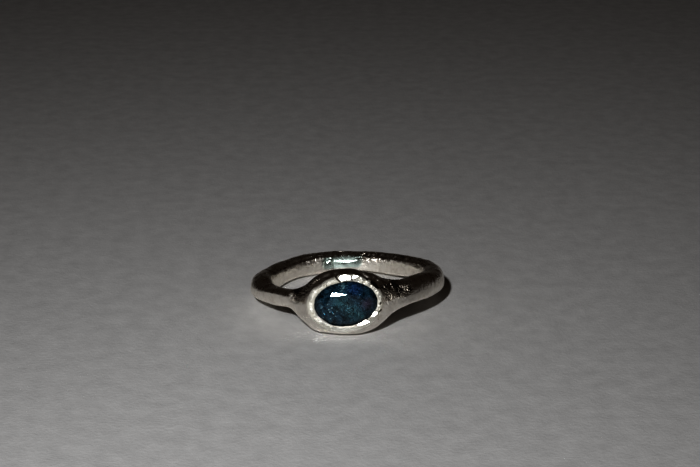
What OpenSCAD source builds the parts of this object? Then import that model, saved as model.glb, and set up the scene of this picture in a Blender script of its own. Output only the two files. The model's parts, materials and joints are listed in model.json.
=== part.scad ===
// Silver ring with a bezel-set oval tourmaline, lying on its side as it rests by itself.
// Millimetres. +X is right, -Y is the front where the stone faces, +Z is up.
// The origin is on the surface below the middle of the ring's bounding box.

/* [Finger hole] */
// Inside diameter of the finger hole
finger_hole_d = 17; // [16.8:0.1:17.2]

/* [Stone] */
// Length of the stone across its girdle
stone_length = 7.3; // [7.1:0.05:7.4]
// Width of the stone across its girdle
stone_width = 5.25; // [5.1:0.05:5.35]
// Share of the stone's length that its table takes
table_share = 0.62; // [0.6:0.01:0.64]
// Height of the crown, from the girdle up to the table
crown_height = 0.75; // [0.6:0.05:0.9]
// Height of the girdle
girdle_height = 0.16; // [0.12:0.02:0.2]
// Depth of the pavilion, from the girdle down to the culet
pavilion_depth = 1.6; // [1.3:0.05:1.6]
// Turn of the stone in its setting, with its right end raised
stone_turn = 4; // [-8:1:8]
// Height of the stone's middle above the middle of the band
stone_rise = 0.52; // [0.4:0.02:0.6]
// Swing of the stone round the finger hole, to the right
stone_swing = -0.8; // [-2:0.1:2]

/* [Bezel] */
// Distance from the finger hole's axis to the front of the rim
rim_front = 10.95; // [10.9:0.05:11.1]
// Depth of the stone's girdle behind the front of the rim
girdle_set_back = 0.35; // [0.3:0.01:0.4]
// How far the lip laps over the edge of the stone
lip_lap = 0.18; // [0.15:0.01:0.22]
// Gap between the stone and the metal all round
stone_gap = 0.04; // [0.03:0.01:0.05]

/* [Smoothness] */
// Points round each section of the band
section_points = 28; // [20:4:32]
// Sides of the bezel's ovals
bezel_sides = 64; // [48:8:72]

/* [Hidden] */

// The columns of the table of sections
ANGLE = 0;   // degrees round the finger hole from the stone, positive to the right
WALL = 1;    // from the finger hole out to the belly of the section
HEIGHT = 2;  // along the finger hole's axis
MIDDLE = 3;  // height of the section's middle, above the middle of the band
BELLY = 4;   // where the section is widest, from -1 at its foot to 1 at its top
SECTIONS = [
    [-180, 2.30, 2.28, 0.15, 0.5],
    [-155, 2.50, 2.33, 0.23, 0.5],
    [-130, 2.60, 2.20, 0.10, 0.0],
    [-110, 2.50, 2.50, -0.10, -0.1],
    [-90, 2.45, 2.60, 0.05, -0.1],
    [-72, 2.20, 2.05, 0.10, 0.2],
    [-55, 1.95, 2.00, 0.20, 0.6],
    [-40, 1.80, 2.10, 0.35, 0.3],
    [-29, 2.10, 4.00, 0.10, -0.4],
    [-21, 2.35, 5.95, 0.15, -0.6],
    [-12, 2.40, 6.80, 0.40, -0.8],
    [0, 2.40, 7.20, 0.40, -0.8],
    [8, 2.40, 7.00, 0.35, -0.8],
    [18, 2.45, 5.90, 0.25, -0.5],
    [28, 2.50, 3.75, 0.55, -0.4],
    [40, 2.45, 2.60, 0.65, -0.7],
    [55, 2.25, 2.80, 0.55, -0.5],
    [72, 2.35, 2.70, 0.30, 0.2],
    [90, 2.35, 2.75, 0.05, -0.1],
    [110, 2.30, 2.40, 0.10, -0.1],
    [130, 2.30, 2.25, 0.02, 0.1],
    [155, 2.30, 2.50, -0.12, 0.4],
];

// The sections stand close together in the head and wider apart round the band
head_half_angle = 45;
head_step = 3;
band_step = 5;

// Each section is round outside and flatter inside, where the finger hole cuts it
crest_share = 0.42;       // how far out its top and foot lie, as a share of the wall
outer_width_power = 0.85;
outer_height_power = 0.8;
inner_width_power = 0.7;
edge_softness = 0.8;      // roundness of the finger hole's edges
hole_overlap = 0.2;       // how far the loft reaches into the finger hole before the cut

// Angles of the three places that the ring stands on: its head and two at the back
FEET = [-2, -112, 156];

// The bezel's outside: how far each oval lies beyond the mouth, and behind the rim
BEZEL_OUT = 0;
BEZEL_BACK = 1;
BEZEL = [
    [1.00, 1.40],
    [0.80, 1.00],
    [0.66, 0.70],
    [0.57, 0.40],
    [0.53, 0.20],
    [0.44, 0.06],
    [0.25, 0.00],
    [0.05, 0.08],
];
mouth_flare = 0.1;

// The crown as it was cut by hand, a row for each kite facet from the stone's right end round by its top.
// The corner is the table's, in shares of the stone's half length and half width, times table_share
CORNER_X = 0;
CORNER_Y = 1;
KITE_WAY = 2;  // the way that the kite faces, in degrees round the stone
STAR_TIP = 3;  // height of the tip of the star facet after the kite, as a share of the crown
CROWN = [
    [1.000, 0.000, 0, 0.77],
    [0.710, 0.500, 54, 0.77],
    [0.177, 0.676, 89, 0.80],
    [-0.645, 0.635, 118, 0.77],
    [-0.984, 0.032, 180, 0.77],
    [-0.710, -0.516, 235, 0.77],
    [0.000, -0.694, 270, 0.77],
    [0.710, -0.500, 306, 0.77],
];
FOLDS = len(CROWN);
half_fold = 360 / FOLDS / 2;
lower_half_reach = 0.26;  // distance of the lower halves' inner tips, as a share of the girdle's

hole_r = finger_hole_d / 2;
last_section = len(SECTIONS) - 1;
girdle_front = rim_front - girdle_set_back;
mouth_half = [stone_length / 2 - lip_lap, stone_width / 2 - lip_lap];
bore_reach = 12;

// The row before the first and the row after the last are the same rows, a turn away
function table_row(i) =
    i < 0 ? SECTIONS[last_section] - [360, 0, 0, 0, 0] :
    i > last_section ? SECTIONS[i - last_section - 1] + [360, 0, 0, 0, 0] :
    SECTIONS[i];

// The slope of every column at a row, for each degree
function table_slope(i) =
    (table_row(i + 1) - table_row(i - 1)) / (table_row(i + 1)[ANGLE] - table_row(i - 1)[ANGLE]);

// All columns at any angle, on a smooth curve through the rows
function section_at(a) =
    let (
        i = max([for (k = [0:last_section]) if (SECTIONS[k][ANGLE] <= a) k]),
        span = table_row(i + 1)[ANGLE] - table_row(i)[ANGLE],
        t = (a - table_row(i)[ANGLE]) / span
    )
    (2 * t ^ 3 - 3 * t ^ 2 + 1) * table_row(i)
    + (t ^ 3 - 2 * t ^ 2 + t) * span * table_slope(i)
    + (3 * t ^ 2 - 2 * t ^ 3) * table_row(i + 1)
    + (t ^ 3 - t ^ 2) * span * table_slope(i + 1);

function signed_power(x, p) = sign(x) * abs(x) ^ p;

// One point of a section as [distance from the axis, height]; turn 0 is out, 90 is up
function section_point(s, turn) =
    let (
        half = s[HEIGHT] / 2,
        crest = hole_r + crest_share * s[WALL],
        c = cos(turn),
        h = sin(turn),
        outside = c > 0,
        belly = s[MIDDLE] + s[BELLY] * half,
        centre = outside ? belly : s[MIDDLE],
        reach = !outside ? half : h > 0 ? s[MIDDLE] + half - belly : belly - s[MIDDLE] + half,
        width = outside ? hole_r + s[WALL] - crest : crest - hole_r + hole_overlap,
        height_power = outside ? outer_height_power : max(0.2, min(0.75, edge_softness / half))
    )
    [
        crest + width * signed_power(c, outside ? outer_width_power : inner_width_power),
        centre + reach * signed_power(h, height_power)
    ];

// A distance and a height turned round the finger hole's axis, with the stone at angle 0
function round_axis(p, a) = [p[0] * sin(a), -p[0] * cos(a), p[1]];

stations = concat(
    [for (a = [-180:band_step:-head_half_angle - band_step]) a],
    [for (a = [-head_half_angle:head_step:head_half_angle]) a],
    [for (a = [head_half_angle + band_step:band_step:180 - band_step]) a]
);
band_points = [
    for (a = stations) let (s = section_at(a))
        for (j = [0:section_points - 1]) round_axis(section_point(s, 360 * j / section_points), a)
];

// Quads between rings of n points each, the last joined to the first where closed
function ring_quads(rings, n, closed = false) = [
    for (i = [0:rings - (closed ? 1 : 2)], j = [0:n - 1])
        let (next = (i + 1) % rings, k = (j + 1) % n)
            [i * n + j, i * n + k, next * n + k, next * n + j]
];

// Where two lines cross, each given by the way that it faces and its distance from the middle
function crossing(way, level, next_way, next_level) =
    [level * next_way.y - next_level * way.y, next_level * way.x - level * next_way.x]
    / (way.x * next_way.y - way.y * next_way.x);

// A kite facet's corner on the table, its way, and how far out it lies at a share of the crown's height
function table_corner(half, k) = table_share * [half.x * CROWN[k][CORNER_X], half.y * CROWN[k][CORNER_Y]];
function kite_way(k) = [cos(CROWN[k][KITE_WAY]), sin(CROWN[k][KITE_WAY])];
function kite_level(half, k, share) =
    let (foot = [half.x * cos(2 * k * half_fold), half.y * sin(2 * k * half_fold)])
    kite_way(k) * (foot + share * (table_corner(half, k) - foot));

// The star facet's tip, where the kite before it and the kite after it meet
function star_tip(half, k) =
    let (next = (k + 1) % FOLDS, share = CROWN[k][STAR_TIP])
    crossing(kite_way(k), kite_level(half, k, share), kite_way(next), kite_level(half, next, share));

// The stone's points, lying crown up with its girdle's upper edge at height 0
function stone_points(grow) =
    let (
        half = [stone_length / 2 + grow, stone_width / 2 + grow],
        crown = crown_height + grow,
        depth = pavilion_depth + grow,
        lower_height = -depth * (1 - lower_half_reach * cos(half_fold)),
        girdle = girdle_height
    )
    concat(
        [for (k = [0:FOLDS - 1]) [each table_corner(half, k), crown]],
        [for (k = [0:FOLDS - 1]) [each star_tip(half, k), crown * CROWN[k][STAR_TIP]]],
        [for (k = [0:2 * FOLDS - 1]) oval_point(half, 1, k, 0)],
        [for (k = [0:2 * FOLDS - 1]) oval_point(half, 1, k, -girdle)],
        [for (k = [0:FOLDS - 1]) oval_point(half, lower_half_reach, 2 * k + 1, lower_height - girdle)],
        [[0, 0, -depth - girdle]]
    );

function oval_point(half, share, halves, height) =
    [half.x * share * cos(halves * half_fold), half.y * share * sin(halves * half_fold), height];

// Where each kind of point starts in that list
table_start = 0;
star_start = FOLDS;
girdle_top = 2 * FOLDS;
girdle_foot = 4 * FOLDS;
lower_start = 6 * FOLDS;
culet = 7 * FOLDS;

// Clockwise seen from outside, as a polyhedron needs
stone_faces = concat(
    [[for (k = [FOLDS - 1:-1:0]) table_start + k]],
    [for (k = [0:FOLDS - 1]) let (next = (k + 1) % FOLDS)
        [table_start + k, table_start + next, star_start + k]],
    [for (k = [0:FOLDS - 1]) let (before = (k + FOLDS - 1) % FOLDS)
        [table_start + k, star_start + k, girdle_top + 2 * k, star_start + before]],
    [for (k = [0:FOLDS - 1]) [girdle_top + 2 * k, star_start + k, girdle_top + 2 * k + 1]],
    [for (k = [0:FOLDS - 1]) let (next = (2 * k + 2) % (2 * FOLDS))
        [girdle_top + 2 * k + 1, star_start + k, girdle_top + next]],
    [for (k = [0:2 * FOLDS - 1]) let (next = (k + 1) % (2 * FOLDS))
        [girdle_top + k, girdle_top + next, girdle_foot + next, girdle_foot + k]],
    [for (k = [0:FOLDS - 1]) [girdle_foot + 2 * k, girdle_foot + 2 * k + 1, lower_start + k]],
    [for (k = [0:FOLDS - 1]) let (next = (2 * k + 2) % (2 * FOLDS))
        [girdle_foot + 2 * k + 1, girdle_foot + next, lower_start + k]],
    [for (k = [0:FOLDS - 1]) let (before = (k + FOLDS - 1) % FOLDS)
        [culet, lower_start + before, girdle_foot + 2 * k, lower_start + k]]
);

// An oval in the stone's own plane, run clockwise, at a height in front of the girdle
function oval(out, height) = [
    for (j = [0:bezel_sides - 1]) let (a = -360 * j / bezel_sides)
        [(mouth_half.x + out) * cos(a), (mouth_half.y + out) * sin(a), height]
];

bezel_points = [
    for (row = BEZEL) each oval(row[BEZEL_OUT], girdle_set_back - row[BEZEL_BACK])
];

// From the stone's own place, lying crown up at the origin, into the ring
function in_setting(p) =
    let (
        x = p.x * cos(stone_turn) - p.y * sin(stone_turn),
        z = p.x * sin(stone_turn) + p.y * cos(stone_turn) + stone_rise,
        y = -girdle_front - p.z
    )
    [x * cos(stone_swing) - y * sin(stone_swing), x * sin(stone_swing) + y * cos(stone_swing), z];

module in_setting() {
    rotate([0, 0, stone_swing])
        translate([0, -girdle_front, stone_rise])
            rotate([90, 0, 0])
                rotate([0, 0, stone_turn])
                    children();
}

// The ring leans until its three feet are level
feet = [for (a = FEET) round_axis(section_point(section_at(a), -90), a)];
ground_up = cross(feet[2] - feet[0], feet[1] - feet[0]);
lean = atan2(ground_up.y, ground_up.z);
roll = -atan2(ground_up.x, norm([ground_up.y, ground_up.z]));

function leant(p) =
    let (y = p.y * cos(lean) - p.z * sin(lean), z = p.y * sin(lean) + p.z * cos(lean))
    [p.x * cos(roll) + z * sin(roll), y, z * cos(roll) - p.x * sin(roll)];

outside_points = [
    for (p = concat(band_points, [for (q = concat(bezel_points, stone_points(0))) in_setting(q)]))
        leant(p)
];
lowest = [for (i = [0:2]) min([for (p = outside_points) p[i]])];
highest = [for (i = [0:2]) max([for (p = outside_points) p[i]])];
to_origin = [-(lowest.x + highest.x) / 2, -(lowest.y + highest.y) / 2, -lowest.z];

module at_rest() {
    translate(to_origin)
        rotate([lean, roll, 0])
            children();
}

// The band with its shoulders and head, lofted through the sections
module band_loft() {
    polyhedron(band_points, ring_quads(len(stations), section_points, closed = true));
}

// A stack of ovals in the stone's plane, closed at both ends
module oval_stack(points) {
    rings = len(points) / bezel_sides;
    polyhedron(points, concat(
        ring_quads(rings, bezel_sides),
        [[for (j = [bezel_sides - 1:-1:0]) j]],
        [[for (j = [0:bezel_sides - 1]) (rings - 1) * bezel_sides + j]]
    ));
}

module bezel() {
    in_setting() oval_stack(bezel_points);
}

// The way that the stone shows through, from the girdle out to the front
module mouth() {
    in_setting() oval_stack(concat(oval(0, 0), oval(0, girdle_set_back), oval(mouth_flare, 1)));
}

module stone_shape(grow) {
    in_setting() polyhedron(stone_points(grow), stone_faces);
}

module silver_ring() {
    color("silver")
        at_rest() difference() {
            union() {
                band_loft();
                bezel();
            }
            stone_shape(stone_gap);
            mouth();
            cylinder(r = hole_r, h = bore_reach, center = true, $fn = 120);
        }
}

module tourmaline() {
    color("midnightblue")
        at_rest() stone_shape(0);
}

silver_ring();
tourmaline();
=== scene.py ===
"""Looks of a silver ring with a bezel-set oval tourmaline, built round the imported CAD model.

Laid out as a Blender add-on and run as a script. Lengths are metres in the model's own frame, where +X is
right, -Y is the front that the stone faces and +Z is up. The ring's relief and the places inside the stone
are worked out in millimetres.
"""
import json
import math
from collections import namedtuple

import bmesh
import bpy
from bpy.props import FloatProperty, FloatVectorProperty, PointerProperty
from mathutils import Matrix, Quaternion, Vector, noise


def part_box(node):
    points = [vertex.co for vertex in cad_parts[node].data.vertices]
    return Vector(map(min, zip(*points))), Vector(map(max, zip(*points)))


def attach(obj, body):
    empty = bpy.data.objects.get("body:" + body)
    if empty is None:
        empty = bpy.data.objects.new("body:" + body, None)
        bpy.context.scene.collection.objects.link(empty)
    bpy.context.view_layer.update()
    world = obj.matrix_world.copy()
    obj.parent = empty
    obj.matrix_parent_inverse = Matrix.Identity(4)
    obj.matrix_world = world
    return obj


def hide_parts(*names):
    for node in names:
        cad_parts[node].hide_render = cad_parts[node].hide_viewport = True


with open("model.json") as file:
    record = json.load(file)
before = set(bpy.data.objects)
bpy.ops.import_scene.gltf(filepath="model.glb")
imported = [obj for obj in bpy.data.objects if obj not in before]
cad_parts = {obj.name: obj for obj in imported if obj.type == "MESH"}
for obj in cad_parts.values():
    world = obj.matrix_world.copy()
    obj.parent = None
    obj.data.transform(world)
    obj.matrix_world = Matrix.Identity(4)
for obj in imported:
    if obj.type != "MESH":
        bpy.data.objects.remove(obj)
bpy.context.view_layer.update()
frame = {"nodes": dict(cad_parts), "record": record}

bl_info = {
    "name": "Tourmaline ring",
    "version": (1, 0, 0),
    "blender": (4, 5, 0),
    "location": "3D View > Sidebar > Ring",
    "description": "Builds the looks of a hammered silver ring with a bezel-set tourmaline",
    "category": "Object",
}

MM = 0.001

# The picture that the camera is matched to, in its own pixels
PICTURE_WIDTH = 700
PICTURE_HEIGHT = 467
HOLE_MIDDLE_PX = (347.7, 282.9)
# Width of the camera's sensor, in millimetres
SENSOR_WIDTH = 36

# From the middle of the paper to its edges, far enough to reach past the picture's far edge
PAPER_REACH = 1500 * MM
# The spot on the paper that the middle of the lamp's beam falls on
LAMP_AIM = Vector((-12 * MM, -18 * MM, 0))

# The sockets of a Mix node for colours, by number, because its kinds for other values use the same names
MIX_SHARE, MIX_UNDER, MIX_OVER, MIX_RESULT = 0, 6, 7, 2

# The finger hole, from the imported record, and the ways from its middle to the head and to the ring's right
BORE = next(m for m in frame["record"]["mounts"] if m["name"] == "finger_bore")
HOLE_MIDDLE = Vector(BORE["pos_m"])
HOLE_AXIS = Vector(BORE["axis"]).normalized()
HOLE_RADIUS = BORE["dims"]["r_mm"] * MM
FRONT = Vector((0, -1, 0))
HEAD_WAY = (FRONT - HOLE_AXIS * HOLE_AXIS.dot(FRONT)).normalized()
RIGHT_WAY = HEAD_WAY.cross(-HOLE_AXIS).normalized()


def linear(hex_colour):
    """Turns an sRGB hex colour into linear red, green and blue."""
    parts = [int(hex_colour[i:i + 2], 16) / 255 for i in (1, 3, 5)]
    return tuple(c / 12.92 if c <= 0.04045 else ((c + 0.055) / 1.055) ** 2.4 for c in parts)


def ease(x, start, end):
    """Rises smoothly from 0 at start to 1 at end, or falls where end lies before start."""
    t = min(1.0, max(0.0, (x - start) / (end - start)))
    return t * t * (3 - 2 * t)


def window(x, low, high, soft):
    """Is 1 between low and high, and falls smoothly to 0 over soft outside them."""
    return ease(x, low - soft, low) * ease(x, high + soft, high)


def add_node(tree, kind, inputs=(), **settings):
    """Adds a node with its settings. An input given as a socket is linked, and any other is set."""
    node = tree.nodes.new(kind)
    for name, value in settings.items():
        setattr(node, name, value)
    for name, value in dict(inputs).items():
        socket = node.inputs[name]
        if isinstance(value, bpy.types.NodeSocket):
            tree.links.new(value, socket)
        else:
            socket.default_value = value
    return node


def new_material(name):
    """Gives an empty node material and its output node."""
    material = bpy.data.materials.new(name)
    material.use_nodes = True
    material.node_tree.nodes.clear()
    return material, add_node(material.node_tree, "ShaderNodeOutputMaterial")


def add_object(name, mesh):
    """Links a new object that holds the mesh, at the origin."""
    thing = bpy.data.objects.new(name, mesh)
    bpy.context.scene.collection.objects.link(thing)
    return thing


class StageSettings(bpy.types.PropertyGroup):
    """The floor, the camera and the light."""

    camera_distance: FloatProperty(
        name="Camera distance", description="From the lens to the middle of the finger hole",
        default=236 * MM, min=100 * MM, unit="LENGTH")
    camera_pitch: FloatProperty(
        name="Camera pitch", description="How far the camera looks down",
        default=math.radians(19.48), subtype="ANGLE")
    camera_roll: FloatProperty(
        name="Camera roll", description="How far the camera is turned about its own line of sight",
        default=math.radians(0.12), subtype="ANGLE")
    lens: FloatProperty(
        name="Lens", description="Focal length in millimetres on a sensor 36 mm wide",
        default=108.0, min=20.0)
    lamp_distance: FloatProperty(
        name="Lamp distance", description="From the lamp to the stone", default=270 * MM, unit="LENGTH")
    lamp_turn: FloatProperty(
        name="Lamp turn", description="How far the lamp stands to the left of the camera",
        default=math.radians(10.5), subtype="ANGLE")
    lamp_height: FloatProperty(
        name="Lamp height", description="Angle of the lamp above the floor, seen from the stone",
        default=math.radians(33.0), subtype="ANGLE")
    lamp_width: FloatProperty(
        name="Lamp width", description="Diameter of the lamp's round face", default=14 * MM, unit="LENGTH")
    lamp_power: FloatProperty(
        name="Lamp power", description="Light that the lamp gives off", default=0.085, min=0.0, unit="POWER")
    lamp_spread: FloatProperty(
        name="Lamp spread", description="Full angle of the lamp's beam, which fades towards its edge",
        default=math.radians(90.0), subtype="ANGLE")
    floor_colour: FloatVectorProperty(
        name="Floor colour", description="Colour of the paper that the ring lies on",
        default=linear("#D2D2D2"), subtype="COLOR", min=0.0, max=1.0)
    room_colour: FloatVectorProperty(
        name="Room colour", description="Colour of the dim room round the ring",
        default=linear("#211C18"), subtype="COLOR", min=0.0, max=1.0)


class SilverSettings(bpy.types.PropertyGroup):
    """The ring's metal: how its surface was cast, hammered and filed, and its colours."""

    voxel: FloatProperty(
        name="Mesh size", description="Size of the faces that the ring's surface is rebuilt from",
        default=0.118 * MM, min=0.06 * MM, precision=6, unit="LENGTH")
    swell_depth: FloatProperty(
        name="Swell depth", description="Height of the broad swells along the band",
        default=0.05 * MM, precision=6, unit="LENGTH")
    swell_size: FloatProperty(
        name="Swell size", description="Distance between the broad swells",
        default=2.4 * MM, precision=6, unit="LENGTH")
    hammer_depth: FloatProperty(
        name="Hammer depth", description="Depth of the hammer's dents",
        default=0.05 * MM, precision=6, unit="LENGTH")
    hammer_size: FloatProperty(
        name="Hammer size", description="Distance between the hammer's dents",
        default=1.1 * MM, precision=6, unit="LENGTH")
    skin_depth: FloatProperty(
        name="Skin depth", description="Height of the cast skin's fine unevenness",
        default=0.016 * MM, precision=6, unit="LENGTH")
    skin_size: FloatProperty(
        name="Skin size", description="Distance between the highs of the cast skin",
        default=0.55 * MM, precision=6, unit="LENGTH")
    grain_depth: FloatProperty(
        name="Grain depth", description="Height of the pitted casting grain on the shoulders",
        default=0.014 * MM, precision=6, unit="LENGTH")
    grain_size: FloatProperty(
        name="Grain size", description="Distance between the pits of the casting grain",
        default=0.24 * MM, precision=6, unit="LENGTH")
    bright_colour: FloatVectorProperty(
        name="Bright colour", description="Colour of the polished silver",
        default=linear("#F9F5EE"), subtype="COLOR", min=0.0, max=1.0)
    # A pale blue-green painted onto the metal behind the stone and a little on the rim: a painted reflection of
    # the stone's light
    painted_stone_reflection_colour: FloatVectorProperty(
        name="Scoop colour", description="Colour of the cooler, freshly worn silver behind the stone",
        default=linear("#DDEDE8"), subtype="COLOR", min=0.0, max=1.0)
    tarnish_colour: FloatVectorProperty(
        name="Tarnish colour", description="Colour of the silver down in its pits",
        default=linear("#B8AC9C"), subtype="COLOR", min=0.0, max=1.0)
    # The dark colour that the rim's marks, the corner below the stone and the strongest grain are made darker
    # towards
    dark_colour: FloatVectorProperty(
        name="Soil colour", description="Colour of the polishing black left in the rim's marks",
        default=linear("#332C27"), subtype="COLOR", min=0.0, max=1.0)


class StoneSettings(bpy.types.PropertyGroup):
    """The tourmaline's colour and clarity."""

    body_colour: FloatVectorProperty(
        name="Body colour", description="Colour of most of the stone",
        default=linear("#4C6E82"), subtype="COLOR", min=0.0, max=1.0)
    blue_colour: FloatVectorProperty(
        name="Blue colour", description="Colour of the blue zone below the stone's upper edge",
        default=linear("#4A6C9C"), subtype="COLOR", min=0.0, max=1.0)
    teal_colour: FloatVectorProperty(
        name="Teal colour", description="Colour of the green-blue zones in the stone's middle",
        default=linear("#5C8E9A"), subtype="COLOR", min=0.0, max=1.0)
    plum_colour: FloatVectorProperty(
        name="Plum colour", description="Colour of the faint purple zone at the stone's right",
        default=linear("#6A5F72"), subtype="COLOR", min=0.0, max=1.0)
    # The pale colour of the painted glints of the flecks, silk, specks and curves inside the stone
    painted_glint_colour: FloatVectorProperty(
        name="Fleck colour", description="Colour of the flecks and veils inside the stone",
        default=linear("#A9C8CC"), subtype="COLOR", min=0.0, max=1.0)
    clarity: FloatProperty(
        name="Clarity", description="Share of the light that passes through the stone's surface",
        default=0.7, min=0.0, max=1.0)


class RING_OT_stage(bpy.types.Operator):
    """Lays the pale paper floor and sets up the camera, the lamp and the dim room"""

    bl_idname = "ring.stage"
    bl_label = "Stage"

    def execute(self, context):
        settings = context.scene.ring_stage
        make_camera(context.scene, settings)
        make_lamp(context.scene, settings)
        make_room(context.scene, settings)
        floor = add_object("floor", floor_mesh())
        floor.data.materials.append(paper(settings))
        # Hard contrast, as in the photo, and the small lamp's reflections left sharp and bright
        context.scene.view_settings.view_transform = "Standard"
        context.scene.view_settings.look = "Very High Contrast"
        context.scene.cycles.blur_glossy = 0.0
        context.scene.cycles.sample_clamp_indirect = 0.0
        return {"FINISHED"}


def make_camera(scene, settings):
    """Stands the camera where the finger hole's middle falls on its place in the picture."""
    camera = bpy.data.cameras.new("camera")
    camera.sensor_width = SENSOR_WIDTH
    camera.lens = settings.lens
    camera.clip_start = 10 * MM
    stand = bpy.data.objects.new("camera", camera)
    scene.collection.objects.link(stand)
    turn = (Quaternion((1, 0, 0), math.radians(90) - settings.camera_pitch)
            @ Quaternion((0, 0, 1), -settings.camera_roll))
    pixels_away = settings.lens / camera.sensor_width * PICTURE_WIDTH
    aim = Vector((
        (HOLE_MIDDLE_PX[0] - PICTURE_WIDTH / 2) / pixels_away,
        (PICTURE_HEIGHT / 2 - HOLE_MIDDLE_PX[1]) / pixels_away,
        -1,
    ))
    stand.rotation_mode = "QUATERNION"
    stand.rotation_quaternion = turn
    stand.location = HOLE_MIDDLE - turn @ aim * settings.camera_distance
    scene.camera = stand


def stone_middle():
    """The middle of the stone's box."""
    low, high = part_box("tourmaline")
    return (low + high) / 2


def make_lamp(scene, settings):
    """One soft round lamp, up and to the left of the camera."""
    lamp = bpy.data.lights.new("lamp", "AREA")
    lamp.shape = "DISK"
    lamp.size = settings.lamp_width
    lamp.energy = settings.lamp_power
    lamp.spread = settings.lamp_spread
    stand = bpy.data.objects.new("lamp", lamp)
    scene.collection.objects.link(stand)
    way = Vector((
        -math.sin(settings.lamp_turn) * math.cos(settings.lamp_height),
        -math.cos(settings.lamp_turn) * math.cos(settings.lamp_height),
        math.sin(settings.lamp_height),
    ))
    stand.location = stone_middle() + way * settings.lamp_distance
    stand.rotation_euler = (stand.location - LAMP_AIM).to_track_quat("Z", "Y").to_euler()


def make_room(scene, settings):
    """The dim room that the ring's top faces mirror."""
    world = bpy.data.worlds.new("room")
    world.use_nodes = True
    world.node_tree.nodes.clear()
    room = add_node(world.node_tree, "ShaderNodeBackground", {
        "Color": (*settings.room_colour, 1), "Strength": 1.0})
    add_node(world.node_tree, "ShaderNodeOutputWorld", {"Surface": room.outputs["Background"]})
    scene.world = world


def floor_mesh():
    """A square sheet on the ground."""
    shape = bmesh.new()
    bmesh.ops.create_grid(shape, x_segments=1, y_segments=1, size=PAPER_REACH)
    mesh = bpy.data.meshes.new("floor")
    shape.to_mesh(mesh)
    shape.free()
    return mesh


def paper(settings):
    """Matt drawing paper, pressed from pulp: faint fibres and a cloudy tone, with no shine."""
    # Real fibres are too fine to show, so they are drawn this coarse
    fibre_size = 0.45 * MM
    cloud_size = 2.2 * MM
    material, output = new_material("matt_drawing_paper")
    tree = material.node_tree
    place = add_node(tree, "ShaderNodeTexCoord").outputs["Object"]
    clouds = add_node(tree, "ShaderNodeTexNoise", {
        "Vector": place, "Scale": 1 / cloud_size, "Detail": 4.0, "Roughness": 0.6})
    tone = add_node(tree, "ShaderNodeMapRange", {
        "Value": clouds.outputs["Fac"], "From Min": 0.3, "From Max": 0.7, "To Min": 0.93, "To Max": 1.07})
    colour = add_node(tree, "ShaderNodeVectorMath", {
        0: tuple(settings.floor_colour), "Scale": tone.outputs["Result"]}, operation="SCALE")
    fibres = add_node(tree, "ShaderNodeTexNoise", {
        "Vector": place, "Scale": 1 / fibre_size, "Detail": 5.0, "Roughness": 0.65})
    bump = add_node(tree, "ShaderNodeBump", {
        "Height": fibres.outputs["Fac"], "Strength": 0.7, "Distance": 0.08 * MM})
    surface = add_node(tree, "ShaderNodeBsdfPrincipled", {
        "Base Color": colour.outputs["Vector"], "Roughness": 0.9, "Specular IOR Level": 0.2,
        "Normal": bump.outputs["Normal"]})
    tree.links.new(surface.outputs["BSDF"], output.inputs["Surface"])
    return material


class RING_OT_silver(bpy.types.Operator):
    """Rebuilds the ring's metal as one smooth casting, hammered, grained and filed as the real one is"""

    bl_idname = "ring.silver"
    bl_label = "Silver ring"

    def execute(self, context):
        settings = context.scene.ring_silver
        mesh = cast_mesh(frame["nodes"]["silver_ring"], settings.voxel)
        work_surface(mesh, settings)
        ring = add_object("hammered_silver_ring", mesh)
        mesh.materials.clear()
        mesh.materials.append(hammered_silver(settings))
        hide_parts("silver_ring")
        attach(ring, "root")
        return {"FINISHED"}


def merged_copy(node, scale=1.0):
    """A closed bmesh of a CAD node, its loose triangles merged."""
    shape = bmesh.new()
    shape.from_mesh(node.data)
    bmesh.ops.remove_doubles(shape, verts=shape.verts, dist=0.0001 * MM)
    bmesh.ops.scale(shape, vec=(scale, scale, scale), verts=shape.verts)
    return shape


def cast_mesh(node, voxel):
    """The node's shape as one even skin, in millimetres, because the remesher takes no voxel below 0.1."""
    shape = merged_copy(node, 1 / MM)
    blank = bpy.data.meshes.new("blank")
    shape.to_mesh(blank)
    shape.free()
    form = add_object("blank", blank)
    remesh = form.modifiers.new("casting", "REMESH")
    remesh.mode = "VOXEL"
    remesh.voxel_size = voxel / MM
    remesh.use_smooth_shade = True
    mesh = bpy.data.meshes.new_from_object(form.evaluated_get(bpy.context.evaluated_depsgraph_get()))
    mesh.name = "hammered_silver_ring"
    bpy.data.objects.remove(form)
    bpy.data.meshes.remove(blank)
    return mesh


# How far behind the stone's table its seat reaches, in millimetres
SEAT_DEPTH = 3.2


class RingPlace:
    """Where a point of the ring's skin lies, in millimetres and degrees."""

    def __init__(self, point, stone):
        arm = point - HOLE_MIDDLE / MM
        across, along = arm.dot(RIGHT_WAY), arm.dot(HEAD_WAY)
        self.point = point
        # Round the finger hole from the head, right positive, out from its axis and up along it
        self.angle = math.degrees(math.atan2(across, along))
        self.reach = math.hypot(across, along)
        self.height = arm.dot(HOLE_AXIS)
        self.away = (RIGHT_WAY * across + HEAD_WAY * along).normalized()
        self.turn, self.out, self.front = stone.round_of(point)
        # Each is 1 there, on the finger hole's wall and in the stone's seat, and 0 elsewhere
        self.in_hole = ease(self.reach, HOLE_RADIUS / MM + 0.25, HOLE_RADIUS / MM + 0.05)
        self.in_seat = ease(self.out, 0.02, -0.12) if self.front > -SEAT_DEPTH else 0.0


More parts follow.
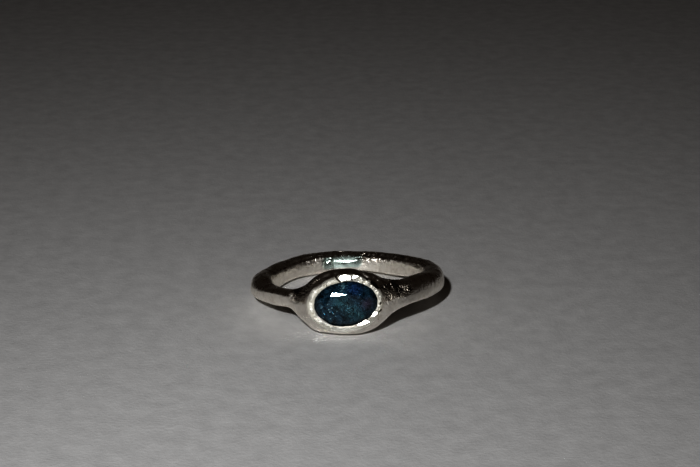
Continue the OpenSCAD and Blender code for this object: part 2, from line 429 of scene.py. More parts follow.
class StonePlace:
    """The stone's middle, the ways of its length and width and the way that it faces, read from its node."""

    def __init__(self, node):
        shape = merged_copy(node, 1 / MM)
        bmesh.ops.dissolve_limit(
            shape, angle_limit=math.radians(1), verts=shape.verts, edges=shape.edges)
        shape.normal_update()
        self.planes = [(face.normal.copy(), face.verts[0].co.dot(face.normal)) for face in shape.faces]
        table = max(shape.faces, key=lambda face: face.calc_area())
        self.face_way = table.normal.copy()
        ends = max(
            ((one.co, two.co) for one in shape.verts for two in shape.verts if one.co.x > two.co.x),
            key=lambda pair: (pair[0] - pair[1]).length)
        self.length_way = (ends[0] - ends[1]).normalized()
        self.width_way = self.face_way.cross(self.length_way)
        self.middle = (ends[0] + ends[1]) / 2
        self.middle += self.face_way * (table.verts[0].co - self.middle).dot(self.face_way)
        self.half_length = max(abs((v.co - self.middle).dot(self.length_way)) for v in shape.verts)
        self.half_width = max(abs((v.co - self.middle).dot(self.width_way)) for v in shape.verts)
        shape.free()

    def flat_of(self, point):
        """Millimetres to the right of the stone's middle and up from it, in the stone's own plane."""
        arm = point - self.middle
        return arm.dot(self.length_way), arm.dot(self.width_way)

    def round_of(self, point):
        """Degrees round the stone from its right end, millimetres out from its edge and before its table."""
        arm = point - self.middle
        along, across = self.flat_of(point)
        share = math.hypot(along / self.half_length, across / self.half_width)
        out = math.hypot(along, across) * (1 - 1 / max(share, 0.001))
        return math.degrees(math.atan2(across, along)), out, arm.dot(self.face_way)

    def spot(self, turn, out, front):
        """The point at those degrees round the stone, millimetres out from its edge and before its table."""
        along, across = math.cos(math.radians(turn)), math.sin(math.radians(turn))
        edge = 1 / math.hypot(along / self.half_length, across / self.half_width)
        return (self.middle + (self.length_way * along + self.width_way * across) * (edge + out)
                + self.face_way * front)

    def clear_of(self, point, gap):
        """The point, moved straight out of the stone where it lies inside it or closer to it than the gap."""
        depth, way = max(((point.dot(way) - level), way) for way, level in self.planes)
        return point + way * (gap - depth) if depth < gap else point


def faced(up, left):
    """The way that points up and to the left of the front by those degrees."""
    up, left = math.radians(up), math.radians(left)
    return Vector((-math.sin(left) * math.cos(up), -math.cos(left) * math.cos(up), math.sin(up)))


# The flats that the hammer left on the rim: degrees round the stone from its right end, how many degrees
# each side, millimetres out and before the table where its plane lies, the degrees up and left that it faces,
# and its roughness
RIM_FLATS = (
    (60, 10, 0.30, -0.56, 0, -10, 0.46),
    (62, 8, 0.30, -0.56, 25, 2, 0.32),
    (85, 13, 0.22, -0.45, 26, 4, 0.30),
    (46, 7, 0.16, -0.46, -3, -28, 0.48),
    (33, 6, 0.16, -0.46, 2, -22, 0.48),
    (20, 7, 0.14, -0.44, 9, -14, 0.58),
    (114, 12, 0.08, -0.42, 18, 10, 0.58),
    (135, 8, 0.14, -0.43, 24, 6, 0.46),
    (159, 9, 0.14, -0.42, 19, 11, 0.62),
    (184, 13, 0.30, -0.47, 12, 9, 0.66),
    (208, 11, 0.24, -0.46, 9, 8, 0.68),
    (232, 11, 0.20, -0.45, 7, 8, 0.70),
    (257, 12, 0.12, -0.44, 0, 4, 0.72),
    (281, 9, 0.10, -0.44, 1, -4, 0.74),
    (305, 12, 0.17, -0.46, 25, 3, 0.34),
    (322, 5, 0.14, -0.46, 0, -22, 0.50),
    (333, 7, 0.16, -0.45, 24, 3, 0.38),
    (347, 8, 0.12, -0.42, 10, -8, 0.70),
    (366, 8, 0.12, -0.42, 6, -14, 0.58),
)
# Creases, file marks and pits in and beside the rim: where each starts and ends, in millimetres to the right
# of the stone's middle and up from it, half its width and its depth
MARKS = (
    ((-0.25, 2.40), (-0.70, 3.00), 0.07, 0.11),
    ((-1.86, 2.40), (-1.72, 2.05), 0.05, 0.07),
    ((1.10, 2.45), (1.00, 3.05), 0.05, 0.05),
    ((3.42, -1.33), (3.30, -2.20), 0.05, 0.035),
    ((3.77, -0.44), (3.80, -0.34), 0.09, 0.16),
    ((3.49, -1.38), (3.75, -1.27), 0.08, 0.14),
    ((2.25, 2.80), (2.70, 2.40), 0.12, 0.20),
    ((1.75, 3.20), (2.20, 2.84), 0.12, 0.12),
    ((3.12, 1.98), (3.74, 1.30), 0.12, 0.19),
    ((3.25, 2.25), (3.65, 1.85), 0.10, 0.12),
    ((3.93, 0.10), (4.08, -0.60), 0.05, 0.04),
    ((4.10, 0.05), (4.50, -0.80), 0.06, 0.05),
    ((4.50, 0.02), (5.10, -0.62), 0.06, 0.04),
)
# The notch and the scoop that are worn into the inner edge of the band behind the stone: where each starts
# and ends, from left to right, and how deep it is at its middle, in millimetres
SCOOPS = ((-2.60, -2.15, 0.06), (-1.60, 1.40, 0.05))
# The middle of the whole worn stretch, half its width, the height that it narrows below and its drop from there
WORN_MIDDLE = -0.6
WORN_HALF = 2.3
WORN_LEVEL = 0.3
WORN_DROP = 1.3
# How softly a scoop ends, how its floor turns to the left, how high it reaches and how worn the wall between is
SCOOP_FADE = 0.25
SCOOP_SLANT = math.tan(math.radians(5))
SCOOP_TOP = 0.75
BRIDGE_WEAR = 0.6

# The broad work, in millimetres
BROW_HEIGHT = 0.2            # the rim's brow at its top
LEFT_BROW_HEIGHT = 0.13      # the wider brow at its left end
DENT_REACH = 0.8             # how far each of the hammer's dents reaches, as a share of their distance
DENT_LEVEL = 0.25            # what sinks them back to the skin's own level
PRESSED_DEPTH = 0.3          # the shoulders, pressed in beside the head
FOOT_DEPTH = 0.07            # the rounded foot of the head
FOOT_HOLLOW = 0.04           # the slight hollow of that foot
FOOT_HOLLOW_HEIGHT = 0.8     # how high above the paper the hollow is the deepest
WALL_FOOT_DEPTH = 0.3        # the rounded foot of the finger hole's wall
WORN_EDGE_DEPTH = 0.2        # the worn upper edge of the finger hole
LIP_LEAN = 0.05              # how far the lip leans in over the stone
LOWER_LIP_LESS = 0.07        # how much less below the stone
LEFT_LIP_MORE = 0.08         # how much more at its upper left
RIGHT_LIFT = 0.55            # how far the band's underside stands off the paper at the back, to the right
LEFT_LIFT = 0.15             # the same to the left
STONE_GAP = 0.02             # how far the skin keeps off the stone
STONE_MARGIN = 0.6           # how far round the stone that is looked after

# The fine work: how far it stands out and the distance between its highs, in millimetres
Work = namedtuple("Work", "depth size")
RIM_FILING = Work(0.05, 0.17)     # along the rim at its upper right
END_FILING = Work(0.04, 0.3)      # across the band at its two ends
ROUGH_TOP = Work(0.035, 0.6)      # round the back
ROUGH_EDGE = Work(0.05, 0.3)      # the upper edge of the finger hole, round the back
PITS = Work(0.05, 0.3)            # all over the top
RIM_DENTS = Work(0.02, 0.26)      # the rim's own fine hammering
NICKS = Work(0.07, 0.4)           # in the lip's inner edge
SMALL_NICK_SIZE = 0.17
# How long the strokes of the file are along the rim and across the band
RIM_STROKE = 1.1
END_STROKE = 1.6
# Mean radius of the lip's inner edge, of the rim and of the band's outside
LIP_RADIUS = 3.2
RIM_RADIUS = 3.4
BAND_RADIUS = 10.5

# The metal's roughness on top and in the finger hole, how much rougher it is on the outer wall and the rim,
# and how much smoother on the buffed foot, in the scoop and, besides, high in the scoop
TOP_ROUGHNESS = 0.30
HOLE_ROUGHNESS = 0.50
WALL_ROUGHER = 0.18
RIM_ROUGHER = 0.42
FOOT_SMOOTHER = 0.17
SCOOP_SMOOTHER = 0.13
SCOOP_TOP_SMOOTHER = 0.14
# A flat that is smoother than this is polished, and keeps no grain and only a share of the fine work
POLISHED = 0.4
POLISHED_RELIEF = 0.25
# Which share of the hammering is gone from the finger hole and the buffed foot, and which of the fine work
# from the foot and the scoop
HOLE_HAMMERING_GONE = 0.6
FOOT_HAMMERING_GONE = 0.8
FOOT_WORK_GONE = 0.6
SCOOP_WORK_GONE = 0.85

# How far apart the casting grain's ragged edges, its uneven spots and its patches round the band are, in
# millimetres, and a shift that sets the patches apart from other noise
RAGGED_SIZE = 1.3
UNEVEN_SIZE = 1.1
PATCH_SIZE = 1.8
PATCH_SHIFT = Vector((9.0, 0.0, 0.0))
# How far its edges wander, in degrees and in millimetres, how strong it is in the patches, how much stronger
# in those at the back on the right, and how strong on the rim
WANDER_TURN = 6
WANDER_RISE = 0.3
PATCH_GRAIN = 0.5
BACK_GRAIN_MORE = 0.25
RIM_GRAIN = 0.45
# How much darker the corner below the stone is made, and how much for each millimetre of a mark's depth and in
# the strongest grain
CORNER_DARKENING = 0.08
MARK_DARKENING = 1.5
GRAIN_DARKENING = 0.105
# How much of the painted reflection of the stone's blue-green light the rim shows
RIM_PAINTED_REFLECTION = 0.15
# The values that the skin carries for its material; its scoop layer carries the share of the painted reflection
# of the stone's light
SKIN_LAYERS = ("grain", "hollow", "rough", "scoop")


def work_surface(mesh, settings):
    """Moves the skin in and out as the casting, the hammer and the file left it, and scales it to metres."""
    stone = StonePlace(frame["nodes"]["tourmaline"])
    shape = bmesh.new()
    shape.from_mesh(mesh)
    refine(shape, stone)
    layers = {name: shape.verts.layers.float.new(name) for name in SKIN_LAYERS}
    move_out(shape, {vert: forged(RingPlace(vert.co, stone), settings) for vert in shape.verts})
    lean_lip(shape, stone)
    flat_at = cut_flats(shape, stone)
    wear_scoops(shape, stone)
    finish_skin(shape, stone, flat_at, layers, settings)
    keep_clear(shape, stone)
    bmesh.ops.scale(shape, vec=(MM, MM, MM), verts=shape.verts)
    shape.to_mesh(mesh)
    shape.free()


def refine(shape, stone):
    """Evens the skin out, and halves its faces where it needs smaller ones."""
    smooth(shape)
    fine = {vert for vert in shape.verts if is_fine(RingPlace(vert.co, stone))}
    bmesh.ops.subdivide_edges(
        shape, edges=[edge for edge in shape.edges if all(vert in fine for vert in edge.verts)],
        cuts=1, use_grid_fill=True)
    smooth(shape)


def is_fine(place):
    """Whether the skin needs smaller faces: on the rim, its filed corner, the shoulders and the scoop."""
    if place.in_seat > 0.5 or place.in_hole > 0.5:
        return abs(place.angle) > 160 and place.height > -0.3 and place.in_hole > 0
    rim = place.out < 0.9 and place.front > -1.5
    filed = 10 < place.turn < 62 and place.out < 1.6 and place.front > -2.8
    return rim or filed or 13 < place.angle < 44 or -36 < place.angle < -13


def smooth(shape):
    """Evens the skin out a little."""
    bmesh.ops.smooth_vert(
        shape, verts=shape.verts, factor=0.5, use_axis_x=True, use_axis_y=True, use_axis_z=True)


def move_out(shape, heights):
    """Moves every vertex out along its normal by its height."""
    shape.normal_update()
    for vert, height in heights.items():
        vert.co += vert.normal * height


def wave(x, y=0.0, z=0.0):
    """Smooth noise from about -1 to 1, one unit from one high to the next. Other places give other waves."""
    return noise.noise(Vector((x, y, z)))


def rough_wave(point, octaves):
    """The same with finer and finer highs on its highs."""
    return noise.fractal(point, 0.8, 2.0, octaves)


def arc(degrees, radius):
    """How long that many degrees of a circle of that radius are."""
    return math.radians(degrees) * radius


def forged(place, settings):
    """How far the hammer's broad shapes stand out at a place, in millimetres."""
    point = place.point
    swell = settings.swell_depth / MM * noise.noise(point * (MM / settings.swell_size))
    nearest = noise.voronoi(point * (MM / settings.hammer_size))[0][0]
    dents = settings.hammer_depth / MM * (min(nearest, DENT_REACH) ** 2 - DENT_LEVEL)
    # The brow of the rim at its top, and its wider left end
    brow = BROW_HEIGHT * window(place.turn, 60, 90, 12) + LEFT_BROW_HEIGHT * ease(abs(place.turn), 138, 152)
    brow *= window(place.front, -1.3, -0.5, 0.35) * window(place.out, 0.2, 0.8, 0.3)
    # The two shoulders, pressed in above the middle of the band beside the head
    right = window(place.angle, 17, 34, 7) * ease(place.height, 0.4, 1.7) * ease(place.height, 3.6, 2.0)
    left = window(place.angle, -34, -17, 6) * ease(place.height, 0.1, 1.3) * ease(place.height, 3.2, 1.6)
    pressed = PRESSED_DEPTH * max(right, left) * ease(place.out, 0.3, 1.8) * ease(place.reach, 8.9, 9.7)
    # The foot of the head in front, rounded and slightly hollow, and the foot of the finger hole's wall
    hollow = max(0.0, 1 - (point.z / FOOT_HOLLOW_HEIGHT - 1) ** 2)
    foot = FOOT_DEPTH * ease(point.z, 0.5, 0.05) + FOOT_HOLLOW * hollow
    foot *= window(place.angle, -30, 30, 8) * (1 - place.in_hole)
    foot += WALL_FOOT_DEPTH * ease(abs(place.angle), 80, 105) * ease(point.z, 0.6, 0.1) * place.in_hole
    # The worn upper edge of the finger hole, round the back
    edge = ease(abs(place.angle), 80, 115) * window(place.reach, 8.4, 8.95, 0.3)
    edge *= WORN_EDGE_DEPTH * ease(place.height, 0.5, 0.9)
    kept = (1 - HOLE_HAMMERING_GONE * place.in_hole) * (1 - FOOT_HAMMERING_GONE * foot_at(place))
    return (1 - place.in_seat) * (kept * (swell + dents) + brow - pressed - foot - edge)


def foot_at(place):
    """Is 1 on the buffed foot of the head in front."""
    return window(place.angle, -26, 26, 8) * ease(place.height, -0.7, -1.4) * (1 - place.in_hole)


def rim_at(place):
    """Is 1 on the rim's narrow band round the stone."""
    return window(place.out, -0.4, 0.5, 0.14) * ease(place.front, -1.1, -0.75)


def lean_lip(shape, stone):
    """Leans the lip in over the stone, the most where it was pressed down hardest, at its upper left."""
    for vert in shape.verts:
        place = RingPlace(vert.co, stone)
        lean = LIP_LEAN - LOWER_LIP_LESS * window(place.turn, -130, -60, 15)
        lean += LEFT_LIP_MORE * max(window(place.turn, 92, 180, 10), window(place.turn, -180, -150, 15))
        hold = window(place.out, -0.5, 0.25, 0.3) * ease(place.front, -1.6, -0.9)
        if hold > 0:
            inward = stone.spot(place.turn, 0.0, place.front) - stone.spot(place.turn, 1.0, place.front)
            vert.co += inward * lean * hold


def cut_flats(shape, stone):
    """Presses the rim back to the plane of each flat, where it stands before it, and gives its roughness."""
    cuts = [(turn, half, stone.spot(turn, out, front), faced(up, left), roughness)
            for turn, half, out, front, up, left, roughness in RIM_FLATS]
    flat_at = {}
    for vert in shape.verts:
        place = RingPlace(vert.co, stone)
        if place.front > -1.6 and -0.25 < place.out < 1.2:
            for turn, half, spot, way, roughness in cuts:
                aside = abs((place.turn - turn + 180) % 360 - 180)
                if aside < half and press(vert, spot, way):
                    flat_at[vert] = roughness
    return flat_at


def press(vert, spot, way):
    """Moves a vertex that stands in front of a plane back onto it, and says whether it did."""
    depth = (vert.co - spot).dot(way)
    if depth > 0:
        vert.co -= way * depth
    return depth > 0


def scoop_at(place):
    """Is 1 in the worn stretch behind the stone."""
    aside, below = place.point.x - WORN_MIDDLE, max(0.0, WORN_LEVEL - place.height)
    away = math.hypot(aside / WORN_HALF, below / WORN_DROP)
    return ease(away, 1.1, 0.85) * ease(abs(place.angle), 145, 155) * ease(place.reach, 10.2, 9.8)


def wear_scoops(shape, stone):
    """Moves the finger hole's wall back onto the flats that are worn into it."""
    worn_left, worn_right = SCOOPS[0][0], SCOOPS[-1][1]
    for vert in shape.verts:
        place = RingPlace(vert.co, stone)
        worn = scoop_at(place)
        if worn == 0:
            continue
        side = place.point.x
        hollow = middling = 0.0
        hold = BRIDGE_WEAR * window(side, worn_left, worn_right, SCOOP_FADE)
        for start, end, depth in SCOOPS:
            middle = (start + end) / 2
            floor = depth - (side - middle) * SCOOP_SLANT
            share = window(side, start, end, SCOOP_FADE)
            hollow = max(hollow, share * floor)
            hold = max(hold, share)
            middling = max(middling, share * (1 - min(1.0, abs(side - middle) / (end - start) * 2) ** 2))
        # It leans back more and more towards its top, and starts to do so the lowest at its middle
        lean_height = 0.3 + 0.3 * middling
        lean = 0.5 / lean_height * max(0.0, place.height - SCOOP_TOP + lean_height) ** 2
        floor_reach = HOLE_RADIUS / MM + hollow * ease(place.height, -1.0, 0.4) + lean * hold
        if floor_reach > place.reach:
            vert.co += place.away * (floor_reach - place.reach) * worn


def finish_skin(shape, stone, flat_at, layers, settings):
    """Adds the fine work, and writes each vertex's grain, hollow, roughness and share of the painted stone
    reflection into its layers.
    """
    heights = {}
    for vert in shape.verts:
        place = RingPlace(vert.co, stone)
        grain = grain_at(place)
        mark = mark_at(place, stone)
        polished = flat_at.get(vert, 1.0) < POLISHED
        relief = finished(place, grain, settings) * (POLISHED_RELIEF if polished else 1.0)
        heights[vert] = relief - mark
        vert[layers["grain"]] = 0.0 if polished else grain
        vert[layers["hollow"]] = darkening_at(place, mark, grain) - relief
        vert[layers["rough"]] = flat_at.get(vert, roughness_at(place, vert.normal.z))
        vert[layers["scoop"]] = painted_stone_reflection_at(place)
    move_out(shape, heights)


def keep_clear(shape, stone):
    """Keeps the skin off the stone, and the band's underside at the back off the paper."""
    for vert in shape.verts:
        if (vert.co - stone.middle).length < stone.half_length + STONE_MARGIN:
            vert.co = stone.clear_of(vert.co, STONE_GAP)
        place = RingPlace(vert.co, stone)
        right = RIGHT_LIFT * window(place.angle, 125, 168, 15)
        left = LEFT_LIFT * window(place.angle, -168, -125, 15)
        vert.co.z = max(vert.co.z, max(right, left) * ease(place.reach, 10.3, 9.2))


def roughness_at(place, upward):
    """The metal's roughness at a place, from the buffed foot of the head to the hammered rim."""
    foot = foot_at(place)
    wall = WALL_ROUGHER * ease(upward, 0.35, 0.1) * (1 - foot) - FOOT_SMOOTHER * foot
    outside = TOP_ROUGHNESS + wall + RIM_ROUGHER * rim_at(place)
    smoother = SCOOP_SMOOTHER + SCOOP_TOP_SMOOTHER * ease(place.height, -0.1, 0.25)
    inside = HOLE_ROUGHNESS - smoother * scoop_at(place)
    return outside + (inside - outside) * place.in_hole


def darkening_at(place, mark, grain):
    """How much darker the metal is made: in the rim's marks, the corner below the stone and the grain."""
    below = window(place.turn, -125, -40, 12)
    corner = CORNER_DARKENING * below * window(place.out, -0.5, 0.0, 0.05) * ease(place.front, -1.1, -0.75)
    marked = MARK_DARKENING * mark * ease(place.front, -1.4, -1.0)
    return marked + corner + GRAIN_DARKENING * ease(grain, 0.45, 0.95)


def painted_stone_reflection_at(place):
    """How much of the painted reflection of the stone's blue-green light shows: most in the scoop, and a little
    on the rim.
    """
    return max(scoop_at(place) * window(place.height, -0.2, 0.8, 0.3), RIM_PAINTED_REFLECTION * rim_at(place))


def mark_at(place, stone):
    """How deep the creases, file marks and pits of the table above are at a place, in millimetres."""
    if place.front < -3.0 or place.out > 2.5:
        return 0.0
    spot = Vector(stone.flat_of(place.point))
    depth = 0.0
    for start, end, half, deep in MARKS:
        start, end = Vector(start), Vector(end)
        along = min(1.0, max(0.0, (spot - start).dot(end - start) / (end - start).length_squared))
        aside = (spot - start - (end - start) * along).length
        depth = max(depth, deep * math.exp(-(aside / half) ** 2))
    return depth


def grain_at(place):
    """How strong the casting grain is, from 0 to 1: on the shoulders, on the rim and in patches round."""
    ragged = noise.noise(place.point / RAGGED_SIZE)
    angle, height = place.angle + WANDER_TURN * ragged, place.height + WANDER_RISE * ragged
    right = window(angle, 17, 34, 12) * window(height, 0.6, 2.0, 0.4)
    left = window(angle, -36, -10, 6) * window(height, 0.4, 3.0, 0.35) * ease(place.front, -1.0, -1.6)
    uneven = 0.85 + 0.3 * noise.noise(place.point / UNEVEN_SIZE)
    shoulder = max(right, left) * ease(place.out, 0.3, 0.8) * uneven
    band = (PATCH_GRAIN + BACK_GRAIN_MORE * window(angle, 140, 176, 10)) * ease(abs(angle), 45, 60)
    patches = ease(noise.noise(place.point / PATCH_SIZE + PATCH_SHIFT), -0.3, 0.3)
    band *= window(height, 0.5, 1.9, 0.4) * patches
    return max(shoulder, band, RIM_GRAIN * rim_at(place)) * (1 - place.in_hole) * (1 - place.in_seat)


def finished(place, grain, settings):
    """How far the fine marks of casting, hammer and file stand out at a place, in millimetres."""
    point, angle, height = place.point, place.angle, place.height
    turn, out, front = place.turn, place.out, place.front
    round_back, outside = abs(angle), 1 - place.in_hole
    moved = settings.skin_depth / MM * rough_wave(point * (MM / settings.skin_size), 3)
    grains = noise.noise(point * (MM / settings.grain_size))
    grains += 0.5 * noise.noise(point * (2 * MM / settings.grain_size))
    moved += grain * settings.grain_depth / MM * grains
    filed = window(turn, 14, 62, 8) * window(out, 0.5, 1.8, 0.25) * outside
    moved += RIM_FILING.depth * filed * wave(out / RIM_FILING.size, arc(turn, RIM_RADIUS) / RIM_STROKE, 7.0)
    ends = max(window(angle, 58, 84, 6), window(angle, -84, -66, 6)) * window(height, 0.0, 2.0, 0.5)
    strokes = wave(arc(angle, BAND_RADIUS) / END_FILING.size, height / END_STROKE, 5.0)
    moved += END_FILING.depth * ends * outside * strokes
    top = window(round_back, 105, 180, 15) * window(height, 0.2, 2.0, 0.3)
    moved += ROUGH_TOP.depth * top * rough_wave(point / ROUGH_TOP.size, 2)
    # The finger hole's edge is twice as rough to the right of the scoop
    edge = window(place.reach, 8.4, 9.3, 0.3) * window(height, 0.5, 2.0, 0.3)
    edge *= window(round_back, 100, 180, 12) * (1 + window(angle, 138, 170, 5))
    moved += ROUGH_EDGE.depth * edge * rough_wave(point / ROUGH_EDGE.size, 2)
    pitted = ease(height, 0.2, 1.0) * outside
    moved -= PITS.depth * pitted * max(0.0, noise.noise(point / PITS.size) - 0.25)
    moved += RIM_DENTS.depth * rim_at(place) * rough_wave(point / RIM_DENTS.size, 2)
    nicked = window(out, -0.3, 0.1, 0.1) * window(front, -0.7, 0.0, 0.1)
    nicks = wave(arc(turn, LIP_RADIUS) / NICKS.size, 2.0) + wave(arc(turn, LIP_RADIUS) / SMALL_NICK_SIZE, 6.0)
    moved += NICKS.depth * nicked * nicks
    kept = (1 - SCOOP_WORK_GONE * scoop_at(place)) * (1 - FOOT_WORK_GONE * foot_at(place))
    return (1 - place.in_seat) * kept * moved


def hammered_silver(settings):
    """Sterling silver, cast, hammered and buffed by hand: a warm white mirror, softened by fine scratches."""
    # Real buffing scratches are too fine to show, so they are drawn this coarse
    scratch_size = 0.22 * MM
    cast_grain_size = 0.18 * MM
    smudge_size = 0.7 * MM
    material, output = new_material("hammered_sterling_silver")
    tree = material.node_tree
    place = add_node(tree, "ShaderNodeTexCoord").outputs["Object"]
    grain, hollow, rough, scoop = (
        add_node(tree, "ShaderNodeAttribute", attribute_name=name).outputs["Fac"] for name in SKIN_LAYERS)
    smudges = add_node(tree, "ShaderNodeTexNoise", {
        "Vector": place, "Scale": 1 / smudge_size, "Detail": 4.0, "Roughness": 0.6})
    tarnish = add_node(tree, "ShaderNodeMapRange", {
        "Value": hollow, "From Min": 0.0, "From Max": 0.05, "To Min": 0.0, "To Max": 0.6})
    mottle = add_node(tree, "ShaderNodeMapRange", {
        "Value": smudges.outputs["Fac"], "From Min": 0.5, "From Max": 0.7, "To Min": 0.0, "To Max": 0.3})
    tarnished = add_node(tree, "ShaderNodeMath", {
        0: tarnish.outputs["Result"], 1: mottle.outputs["Result"]}, operation="MAXIMUM")
    # Darker towards the dark colour where the hollow layer is highest: in the rim's marks, the corner below the
    # stone and the strongest grain
    darkening = add_node(tree, "ShaderNodeMapRange", {
        "Value": hollow, "From Min": 0.05, "From Max": 0.12, "To Min": 0.0, "To Max": 0.85})
    colour = (*settings.bright_colour, 1)
    # The scoop layer mixes in the painted reflection of the stone's blue-green light
    layers = (
        (tarnished.outputs["Value"], settings.tarnish_colour),
        (scoop, settings.painted_stone_reflection_colour),
        (darkening.outputs["Result"], settings.dark_colour),
    )
    for share, over in layers:
        colour = add_node(tree, "ShaderNodeMix", {
            MIX_SHARE: share, MIX_UNDER: colour, MIX_OVER: (*over, 1)}, data_type="RGBA").outputs[MIX_RESULT]
    uneven = add_node(tree, "ShaderNodeMapRange", {
        "Value": smudges.outputs["Fac"], "From Min": 0.35, "From Max": 0.65, "To Min": -0.06, "To Max": 0.06})
    roughness = add_node(tree, "ShaderNodeMath", {0: rough, 1: uneven.outputs["Result"]}, operation="ADD")
    scratches = add_node(tree, "ShaderNodeTexNoise", {
        "Vector": place, "Scale": 1 / scratch_size, "Detail": 3.0, "Roughness": 0.6})
    fine = add_node(tree, "ShaderNodeBump", {
        "Height": scratches.outputs["Fac"], "Strength": 0.25, "Distance": 0.03 * MM})
    # Each cast grain is a small dome, which mirrors the lamp as one speck
    grains = add_node(tree, "ShaderNodeTexVoronoi", {
        "Vector": place, "Scale": 1 / cast_grain_size, "Randomness": 1.0}, feature="F1")
    domes = add_node(tree, "ShaderNodeMath", {
        0: grains.outputs["Distance"], 1: grains.outputs["Distance"]}, operation="MULTIPLY")
    bump = add_node(tree, "ShaderNodeBump", {
        "Height": domes.outputs["Value"], "Strength": grain, "Distance": 0.105 * MM,
        "Normal": fine.outputs["Normal"]}, invert=True)
    surface = add_node(tree, "ShaderNodeBsdfPrincipled", {
        "Base Color": colour, "Metallic": 1.0, "Roughness": roughness.outputs["Value"],
        "Normal": bump.outputs["Normal"]})
    tree.links.new(surface.outputs["BSDF"], output.inputs["Surface"])
    return material


class RING_OT_tourmaline(bpy.types.Operator):
    """Gives the cut stone its deep blue-green tourmaline"""

    bl_idname = "ring.tourmaline"
    bl_label = "Tourmaline"

    def execute(self, context):
        stone = frame["nodes"]["tourmaline"]
        material = blue_tourmaline(context.scene.ring_stone, StonePlace(stone))
        for holder in stone.material_slots:
            holder.material = material
        return {"FINISHED"}


# Where the stone's coloured zones lie, in millimetres to the right of its middle and up from it, and how far
# each reaches
COLOUR_ZONES = (
    ("teal_colour", (-0.5, 0.35), 1.5),
    ("teal_colour", (0.65, -0.95), 1.5),
    ("teal_colour", (0.2, 2.25), 0.6),
    ("teal_colour", (1.5, -1.6), 0.9),
    ("plum_colour", (2.3, -0.15), 1.1),
    ("blue_colour", (1.2, 1.6), 1.35),
)
# Where the flecks and the silk inside the stone catch the light, painted as glints: the middle of each place in
# millimetres, as above, how far it reaches and how far out it is at its brightest
FLECKED = ((-1.85, -0.6), 1.25, 0.7)
SILKY = (((0.3, -0.3), 1.5, 0.3), ((-0.1, 1.9), 0.9, 0.2))
# Specks inside the stone, painted as bright glints: the middle of each in millimetres, as above, and its radius
SPECKS = (
    ((-0.06, 2.12), 0.38),
    ((0.0, 1.8), 0.2),
    ((-0.2, 1.55), 0.16),
    ((0.72, -1.02), 0.2),
    ((0.5, -0.22), 0.16),
)
# Thin curved glints painted inside the stone, for reflections of its back facets: the middle of each one's
# circle in millimetres, as above, its radius, the spot on the circle that it is strongest at and how far it
# reaches from there
PAINTED_GLINT_ARCS = (
    ((0.22, 0.19), 0.5, (0.69, 0.04), 0.4),
    ((0.1, -1.86), 1.5, (0.08, -0.36), 0.36),
    ((0.29, -1.12), 1.03, (1.32, -1.12), 0.6),
)
# How far below the table they all lie, in millimetres, and half the thickness of a curved glint
ZONE_DEPTH = 0.3
PAINTED_ARC_HALF = 0.05
# How bright a painted glint of a fleck, a speck or a curve is at its middle
GLINT = 0.8


def blue_tourmaline(settings, stone):
    """Indicolite tourmaline, cut and polished: deep blue-green glass with colour zones, painted glints and an
    edge of painted shade.
    """
    silk_size = 0.17
    material, output = new_material("indicolite_tourmaline")
    tree = material.node_tree
    axes = Matrix((stone.length_way, stone.width_way, stone.face_way)).transposed()
    place = add_node(tree, "ShaderNodeMapping", {
        "Vector": add_node(tree, "ShaderNodeTexCoord").outputs["Object"], "Location": stone.middle * MM,
        "Rotation": axes.to_euler(), "Scale": (MM, MM, MM)}, vector_type="TEXTURE").outputs["Vector"]
    silk = add_node(tree, "ShaderNodeTexNoise", {
        "Vector": place, "Scale": 1 / silk_size, "Detail": 2.0, "Roughness": 0.6}).outputs["Fac"]
    # How bright the painted glints are, which turn the colour pale and let less light through the stone
    bright = glints(tree, place, silk)
    colour = add_node(tree, "ShaderNodeMix", {
        MIX_SHARE: bright, MIX_UNDER: zoned_colour(tree, place, silk, settings, stone),
        MIX_OVER: (*settings.painted_glint_colour, 1)}, data_type="RGBA")
    clear = add_node(tree, "ShaderNodeMapRange", {"Value": bright, "To Min": settings.clarity, "To Max": 0.1})
    surface = add_node(tree, "ShaderNodeBsdfPrincipled", {
        "Base Color": colour.outputs[MIX_RESULT], "Roughness": 0.0, "IOR": 1.6,
        "Transmission Weight": clear.outputs["Result"]})
    tree.links.new(surface.outputs["BSDF"], output.inputs["Surface"])
    return material


def near(tree, place, spot, reach, brightest=0.0):
    """A pattern that is 1 round a spot inside the stone and falls to 0 at its reach."""
    away = add_node(tree, "ShaderNodeVectorMath", {0: place, 1: (*spot, -ZONE_DEPTH)}, operation="DISTANCE")
    fading = add_node(tree, "ShaderNodeMapRange", {
        "Value": away.outputs["Value"], "From Min": brightest, "From Max": reach,
        "To Min": 1.0, "To Max": 0.0}, interpolation_type="SMOOTHSTEP")
    return fading.outputs["Result"]


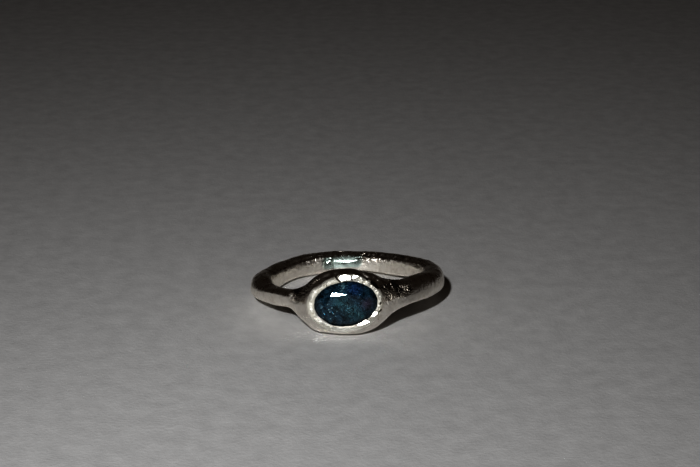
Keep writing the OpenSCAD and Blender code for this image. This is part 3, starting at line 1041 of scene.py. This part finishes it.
def zoned_colour(tree, place, silk, settings, stone):
    """The stone's colour: its zones, clouded, with the silk's painted sheen and painted shade that darkens it
    towards its edge.
    """
    cloud_size = 0.7
    colour = (*settings.body_colour, 1)
    for name, spot, reach in COLOUR_ZONES:
        colour = add_node(tree, "ShaderNodeMix", {
            MIX_SHARE: near(tree, place, spot, reach), MIX_UNDER: colour,
            MIX_OVER: (*getattr(settings, name), 1)}, data_type="RGBA").outputs[MIX_RESULT]
    clouds = add_node(tree, "ShaderNodeTexNoise", {
        "Vector": place, "Scale": 1 / cloud_size, "Detail": 5.0, "Roughness": 0.7, "Distortion": 0.6})
    tone = add_node(tree, "ShaderNodeMapRange", {
        "Value": clouds.outputs["Fac"], "From Min": 0.38, "From Max": 0.62, "To Min": 0.35, "To Max": 1.75})
    # Painted shade: the colour darkens towards the stone's edge, where its steep crown facets and the rim's
    # shadow would darken it
    across = add_node(tree, "ShaderNodeVectorMath", {
        0: place, 1: (1 / stone.half_length, 1 / stone.half_width, 0)}, operation="MULTIPLY")
    rim = add_node(tree, "ShaderNodeVectorMath", {0: across.outputs["Vector"]}, operation="LENGTH")
    edge = add_node(tree, "ShaderNodeMapRange", {
        "Value": rim.outputs["Value"], "From Min": 0.7, "From Max": 0.97, "To Min": 1.0, "To Max": 0.35},
        interpolation_type="SMOOTHSTEP")
    tone_and_painted_edge_shade = add_node(tree, "ShaderNodeMath", {
        0: tone.outputs["Result"], 1: edge.outputs["Result"]}, operation="MULTIPLY")
    colour = add_node(tree, "ShaderNodeVectorMath", {
        0: colour, "Scale": tone_and_painted_edge_shade.outputs["Value"]}, operation="SCALE")
    # The silk's painted sheen: the colour is brightened and darkened in fine spots where the silk would catch
    # the light
    sheen = add_node(tree, "ShaderNodeMapRange", {
        "Value": silk, "From Min": 0.38, "From Max": 0.62, "To Min": 0.55, "To Max": 1.5})
    colour = add_node(tree, "ShaderNodeVectorMath", {
        0: colour.outputs["Vector"], "Scale": sheen.outputs["Result"]}, operation="SCALE")
    return colour.outputs["Vector"]


def glints(tree, place, silk):
    """How bright the painted glints of the flecks, the silk, the specks and the curves are, the brightest of
    them at each point.
    """
    fleck_size = 0.55
    flecks = add_node(tree, "ShaderNodeTexVoronoi", {
        "Vector": place, "Scale": 1 / fleck_size, "Randomness": 1.0}, feature="F1", voronoi_dimensions="2D")
    fleck = add_node(tree, "ShaderNodeMapRange", {
        "Value": flecks.outputs["Distance"], "From Min": 0.08, "From Max": 0.2,
        "To Min": GLINT, "To Max": 0.0})
    sparkle = add_node(tree, "ShaderNodeMapRange", {
        "Value": silk, "From Min": 0.55, "From Max": 0.72, "To Min": 0.0, "To Max": 0.7})
    # Each one's brightness is the product of these
    products = [(fleck.outputs["Result"], near(tree, place, *FLECKED))]
    products += [(sparkle.outputs["Result"], near(tree, place, *silky)) for silky in SILKY]
    products += [(near(tree, place, *speck), GLINT) for speck in SPECKS]
    flat = add_node(tree, "ShaderNodeVectorMath", {0: place, 1: (1, 1, 0)}, operation="MULTIPLY")
    for middle, radius, spot, reach in PAINTED_GLINT_ARCS:
        away = add_node(tree, "ShaderNodeVectorMath", {
            0: flat.outputs["Vector"], 1: (*middle, 0)}, operation="DISTANCE")
        line = add_node(tree, "ShaderNodeMath", {
            0: away.outputs["Value"], 1: radius, 2: PAINTED_ARC_HALF}, operation="COMPARE")
        products.append((line.outputs["Value"], near(tree, place, spot, reach), GLINT))
    bright = 0.0
    for pattern, *factors in products:
        for factor in factors:
            pattern = add_node(
                tree, "ShaderNodeMath", {0: pattern, 1: factor}, operation="MULTIPLY").outputs["Value"]
        bright = add_node(
            tree, "ShaderNodeMath", {0: bright, 1: pattern}, operation="MAXIMUM").outputs["Value"]
    return bright


class RING_PT_panel(bpy.types.Panel):
    """Lists the ring's pieces and their settings"""

    bl_idname = "RING_PT_panel"
    bl_label = "Tourmaline ring"
    bl_space_type = "VIEW_3D"
    bl_region_type = "UI"
    bl_category = "Ring"

    def draw(self, context):
        for operator, settings in PANEL_ROWS:
            column = self.layout.column()
            column.operator(operator.bl_idname)
            group = getattr(context.scene, settings)
            for name in group.bl_rna.properties.keys():
                if name not in {"rna_type", "name"}:
                    column.prop(group, name)


PANEL_ROWS = (
    (RING_OT_stage, "ring_stage"),
    (RING_OT_silver, "ring_silver"),
    (RING_OT_tourmaline, "ring_stone"),
)
SETTINGS = {"ring_stage": StageSettings, "ring_silver": SilverSettings, "ring_stone": StoneSettings}
CLASSES = (*SETTINGS.values(), RING_OT_stage, RING_OT_silver, RING_OT_tourmaline, RING_PT_panel)


def register():
    for each in CLASSES:
        bpy.utils.register_class(each)
    for name, group in SETTINGS.items():
        setattr(bpy.types.Scene, name, PointerProperty(type=group))


def unregister():
    for name in SETTINGS:
        delattr(bpy.types.Scene, name)
    for each in reversed(CLASSES):
        bpy.utils.unregister_class(each)


def main():
    register()
    bpy.ops.ring.stage()
    bpy.ops.ring.silver()
    bpy.ops.ring.tourmaline()


if __name__ == "__main__":
    main()
